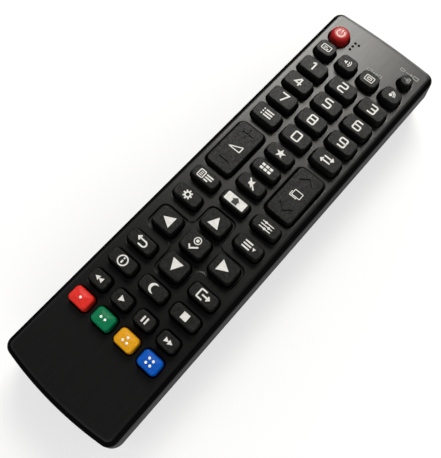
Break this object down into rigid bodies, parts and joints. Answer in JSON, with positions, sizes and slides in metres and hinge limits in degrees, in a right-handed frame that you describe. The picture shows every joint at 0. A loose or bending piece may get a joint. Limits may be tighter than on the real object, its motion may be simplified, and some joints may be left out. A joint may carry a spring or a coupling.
{
  "type": "television remote control",
  "caption": "Slim hand-held infrared remote control with rubber keys, two rocker keys and a sliding battery cover over two AAA cells",
  "frame": {"origin": "middle of the underside, on the table plane", "axes": "+Y to the emitter end, +Z out of the key face, +X to the right as the keys are read"},
  "size_m": [0.0464, 0.1716, 0.023],
  "materials": {
    "case_black": "satin",
    "key_charcoal": "matte",
    "power_red": "matte",
    "key_red": "matte",
    "key_green": "matte",
    "key_yellow": "matte",
    "key_blue": "matte",
    "window_dark": "gloss",
    "led_clear": "gloss",
    "board_green": "satin",
    "mat_grey": "matte",
    "chip_black": "matte",
    "resonator_metal": "satin",
    "capacitor_sleeve": "satin",
    "cell_jacket": "satin",
    "contact_metal": "satin"
  },
  "bodies": {
    "housing": {"battery_cells": "cell_jacket", "bottom_case": "case_black", "capacitor": "capacitor_sleeve", "circuit_board": "board_green", "contact_link": "contact_metal", "contact_negative": "contact_metal", "contact_positive": "contact_metal", "controller_chip": "chip_black", "ir_led": "led_clear", "ir_window": "window_dark", "keypad_mat": "mat_grey", "resonator": "resonator_metal", "top_case": "case_black"},
    "audio_description_key_body": {"audio_description_key": "key_charcoal"},
    "back_key_body": {"back_key": "key_charcoal"},
    "blue_key_body": {"blue_key": "key_blue"},
    "digit_0_key_body": {"digit_0_key": "key_charcoal"},
    "digit_1_key_body": {"digit_1_key": "key_charcoal"},
    "digit_2_key_body": {"digit_2_key": "key_charcoal"},
    "digit_3_key_body": {"digit_3_key": "key_charcoal"},
    "digit_4_key_body": {"digit_4_key": "key_charcoal"},
    "digit_5_key_body": {"digit_5_key": "key_charcoal"},
    "digit_6_key_body": {"digit_6_key": "key_charcoal"},
    "digit_7_key_body": {"digit_7_key": "key_charcoal"},
    "digit_8_key_body": {"digit_8_key": "key_charcoal"},
    "digit_9_key_body": {"digit_9_key": "key_charcoal"},
    "down_key_body": {"down_key": "key_charcoal"},
    "exit_key_body": {"exit_key": "key_charcoal"},
    "fast_forward_key_body": {"fast_forward_key": "key_charcoal"},
    "favourite_key_body": {"favourite_key": "key_charcoal"},
    "green_key_body": {"green_key": "key_green"},
    "guide_key_body": {"guide_key": "key_charcoal"},
    "home_key_body": {"home_key": "key_charcoal"},
    "info_key_body": {"info_key": "key_charcoal"},
    "input_key_body": {"input_key": "key_charcoal"},
    "left_key_body": {"left_key": "key_charcoal"},
    "list_key_body": {"list_key": "key_charcoal"},
    "mute_key_body": {"mute_key": "key_charcoal"},
    "ok_key_body": {"ok_key": "key_charcoal"},
    "pause_key_body": {"pause_key": "key_charcoal"},
    "play_key_body": {"play_key": "key_charcoal"},
    "power_key_body": {"power_key": "power_red"},
    "quick_menu_key_body": {"quick_menu_key": "key_charcoal"},
    "quick_view_key_body": {"quick_view_key": "key_charcoal"},
    "ratio_key_body": {"ratio_key": "key_charcoal"},
    "red_key_body": {"red_key": "key_red"},
    "rewind_key_body": {"rewind_key": "key_charcoal"},
    "right_key_body": {"right_key": "key_charcoal"},
    "settings_key_body": {"settings_key": "key_charcoal"},
    "sleep_key_body": {"sleep_key": "key_charcoal"},
    "stop_key_body": {"stop_key": "key_charcoal"},
    "subtitle_key_body": {"subtitle_key": "key_charcoal"},
    "text_key_body": {"text_key": "key_charcoal"},
    "text_option_key_body": {"text_option_key": "key_charcoal"},
    "tv_radio_key_body": {"tv_radio_key": "key_charcoal"},
    "up_key_body": {"up_key": "key_charcoal"},
    "yellow_key_body": {"yellow_key": "key_yellow"},
    "volume_rocker_body": {"volume_rocker": "key_charcoal"},
    "programme_rocker_body": {"programme_rocker": "key_charcoal"},
    "battery_cover_body": {"battery_cover": "case_black"}
  },
  "joints": [
    {"name": "battery_cover_slide", "type": "slide", "parent": "housing", "child": "battery_cover_body", "axis": [0, -1, 0], "range_m": [0, 0.062]},
    {"name": "programme_rocker_tilt", "type": "hinge", "parent": "housing", "child": "programme_rocker_body", "pos_m": [0.013, 0.01208, 0.0172], "axis": [1, 0, 0], "range_deg": [-2.5, 2.5], "stiffness_Nm_per_rad": 0.44},
    {"name": "volume_rocker_tilt", "type": "hinge", "parent": "housing", "child": "volume_rocker_body", "pos_m": [-0.013, 0.01208, 0.0172], "axis": [1, 0, 0], "range_deg": [-2.5, 2.5], "stiffness_Nm_per_rad": 0.44},
    {"name": "audio_description_key_press", "type": "slide", "parent": "housing", "child": "audio_description_key_body", "axis": [0, 0, -1], "range_m": [0, 0.001], "stiffness_N_per_m": 600},
    {"name": "back_key_press", "type": "slide", "parent": "housing", "child": "back_key_body", "axis": [0, 0, -1], "range_m": [0, 0.001], "stiffness_N_per_m": 600},
    {"name": "blue_key_press", "type": "slide", "parent": "housing", "child": "blue_key_body", "axis": [0, 0, -1], "range_m": [0, 0.001], "stiffness_N_per_m": 600},
    {"name": "digit_0_key_press", "type": "slide", "parent": "housing", "child": "digit_0_key_body", "axis": [0, 0, -1], "range_m": [0, 0.001], "stiffness_N_per_m": 600},
    {"name": "digit_1_key_press", "type": "slide", "parent": "housing", "child": "digit_1_key_body", "axis": [0, 0, -1], "range_m": [0, 0.001], "stiffness_N_per_m": 600},
    {"name": "digit_2_key_press", "type": "slide", "parent": "housing", "child": "digit_2_key_body", "axis": [0, 0, -1], "range_m": [0, 0.001], "stiffness_N_per_m": 600},
    {"name": "digit_3_key_press", "type": "slide", "parent": "housing", "child": "digit_3_key_body", "axis": [0, 0, -1], "range_m": [0, 0.001], "stiffness_N_per_m": 600},
    {"name": "digit_4_key_press", "type": "slide", "parent": "housing", "child": "digit_4_key_body", "axis": [0, 0, -1], "range_m": [0, 0.001], "stiffness_N_per_m": 600},
    {"name": "digit_5_key_press", "type": "slide", "parent": "housing", "child": "digit_5_key_body", "axis": [0, 0, -1], "range_m": [0, 0.001], "stiffness_N_per_m": 600},
    {"name": "digit_6_key_press", "type": "slide", "parent": "housing", "child": "digit_6_key_body", "axis": [0, 0, -1], "range_m": [0, 0.001], "stiffness_N_per_m": 600},
    {"name": "digit_7_key_press", "type": "slide", "parent": "housing", "child": "digit_7_key_body", "axis": [0, 0, -1], "range_m": [0, 0.001], "stiffness_N_per_m": 600},
    {"name": "digit_8_key_press", "type": "slide", "parent": "housing", "child": "digit_8_key_body", "axis": [0, 0, -1], "range_m": [0, 0.001], "stiffness_N_per_m": 600},
    {"name": "digit_9_key_press", "type": "slide", "parent": "housing", "child": "digit_9_key_body", "axis": [0, 0, -1], "range_m": [0, 0.001], "stiffness_N_per_m": 600},
    {"name": "down_key_press", "type": "slide", "parent": "housing", "child": "down_key_body", "axis": [0, 0, -1], "range_m": [0, 0.001], "stiffness_N_per_m": 600},
    {"name": "exit_key_press", "type": "slide", "parent": "housing", "child": "exit_key_body", "axis": [0, 0, -1], "range_m": [0, 0.001], "stiffness_N_per_m": 600},
    {"name": "fast_forward_key_press", "type": "slide", "parent": "housing", "child": "fast_forward_key_body", "axis": [0, 0, -1], "range_m": [0, 0.001], "stiffness_N_per_m": 600},
    {"name": "favourite_key_press", "type": "slide", "parent": "housing", "child": "favourite_key_body", "axis": [0, 0, -1], "range_m": [0, 0.001], "stiffness_N_per_m": 600},
    {"name": "green_key_press", "type": "slide", "parent": "housing", "child": "green_key_body", "axis": [0, 0, -1], "range_m": [0, 0.001], "stiffness_N_per_m": 600},
    {"name": "guide_key_press", "type": "slide", "parent": "housing", "child": "guide_key_body", "axis": [0, 0, -1], "range_m": [0, 0.001], "stiffness_N_per_m": 600},
    {"name": "home_key_press", "type": "slide", "parent": "housing", "child": "home_key_body", "axis": [0, 0, -1], "range_m": [0, 0.001], "stiffness_N_per_m": 600},
    {"name": "info_key_press", "type": "slide", "parent": "housing", "child": "info_key_body", "axis": [0, 0, -1], "range_m": [0, 0.001], "stiffness_N_per_m": 600},
    {"name": "input_key_press", "type": "slide", "parent": "housing", "child": "input_key_body", "axis": [0, 0, -1], "range_m": [0, 0.001], "stiffness_N_per_m": 600},
    {"name": "left_key_press", "type": "slide", "parent": "housing", "child": "left_key_body", "axis": [0, 0, -1], "range_m": [0, 0.001], "stiffness_N_per_m": 600},
    {"name": "list_key_press", "type": "slide", "parent": "housing", "child": "list_key_body", "axis": [0, 0, -1], "range_m": [0, 0.001], "stiffness_N_per_m": 600},
    {"name": "mute_key_press", "type": "slide", "parent": "housing", "child": "mute_key_body", "axis": [0, 0, -1], "range_m": [0, 0.001], "stiffness_N_per_m": 600},
    {"name": "ok_key_press", "type": "slide", "parent": "housing", "child": "ok_key_body", "axis": [0, 0, -1], "range_m": [0, 0.001], "stiffness_N_per_m": 600},
    {"name": "pause_key_press", "type": "slide", "parent": "housing", "child": "pause_key_body", "axis": [0, 0, -1], "range_m": [0, 0.001], "stiffness_N_per_m": 600},
    {"name": "play_key_press", "type": "slide", "parent": "housing", "child": "play_key_body", "axis": [0, 0, -1], "range_m": [0, 0.001], "stiffness_N_per_m": 600},
    {"name": "power_key_press", "type": "slide", "parent": "housing", "child": "power_key_body", "axis": [0, 0, -1], "range_m": [0, 0.001], "stiffness_N_per_m": 600},
    {"name": "quick_menu_key_press", "type": "slide", "parent": "housing", "child": "quick_menu_key_body", "axis": [0, 0, -1], "range_m": [0, 0.001], "stiffness_N_per_m": 600},
    {"name": "quick_view_key_press", "type": "slide", "parent": "housing", "child": "quick_view_key_body", "axis": [0, 0, -1], "range_m": [0, 0.001], "stiffness_N_per_m": 600},
    {"name": "ratio_key_press", "type": "slide", "parent": "housing", "child": "ratio_key_body", "axis": [0, 0, -1], "range_m": [0, 0.001], "stiffness_N_per_m": 600},
    {"name": "red_key_press", "type": "slide", "parent": "housing", "child": "red_key_body", "axis": [0, 0, -1], "range_m": [0, 0.001], "stiffness_N_per_m": 600},
    {"name": "rewind_key_press", "type": "slide", "parent": "housing", "child": "rewind_key_body", "axis": [0, 0, -1], "range_m": [0, 0.001], "stiffness_N_per_m": 600},
    {"name": "right_key_press", "type": "slide", "parent": "housing", "child": "right_key_body", "axis": [0, 0, -1], "range_m": [0, 0.001], "stiffness_N_per_m": 600},
    {"name": "settings_key_press", "type": "slide", "parent": "housing", "child": "settings_key_body", "axis": [0, 0, -1], "range_m": [0, 0.001], "stiffness_N_per_m": 600},
    {"name": "sleep_key_press", "type": "slide", "parent": "housing", "child": "sleep_key_body", "axis": [0, 0, -1], "range_m": [0, 0.001], "stiffness_N_per_m": 600},
    {"name": "stop_key_press", "type": "slide", "parent": "housing", "child": "stop_key_body", "axis": [0, 0, -1], "range_m": [0, 0.001], "stiffness_N_per_m": 600},
    {"name": "subtitle_key_press", "type": "slide", "parent": "housing", "child": "subtitle_key_body", "axis": [0, 0, -1], "range_m": [0, 0.001], "stiffness_N_per_m": 600},
    {"name": "text_key_press", "type": "slide", "parent": "housing", "child": "text_key_body", "axis": [0, 0, -1], "range_m": [0, 0.001], "stiffness_N_per_m": 600},
    {"name": "text_option_key_press", "type": "slide", "parent": "housing", "child": "text_option_key_body", "axis": [0, 0, -1], "range_m": [0, 0.001], "stiffness_N_per_m": 600},
    {"name": "tv_radio_key_press", "type": "slide", "parent": "housing", "child": "tv_radio_key_body", "axis": [0, 0, -1], "range_m": [0, 0.001], "stiffness_N_per_m": 600},
    {"name": "up_key_press", "type": "slide", "parent": "housing", "child": "up_key_body", "axis": [0, 0, -1], "range_m": [0, 0.001], "stiffness_N_per_m": 600},
    {"name": "yellow_key_press", "type": "slide", "parent": "housing", "child": "yellow_key_body", "axis": [0, 0, -1], "range_m": [0, 0.001], "stiffness_N_per_m": 600}
  ]
}
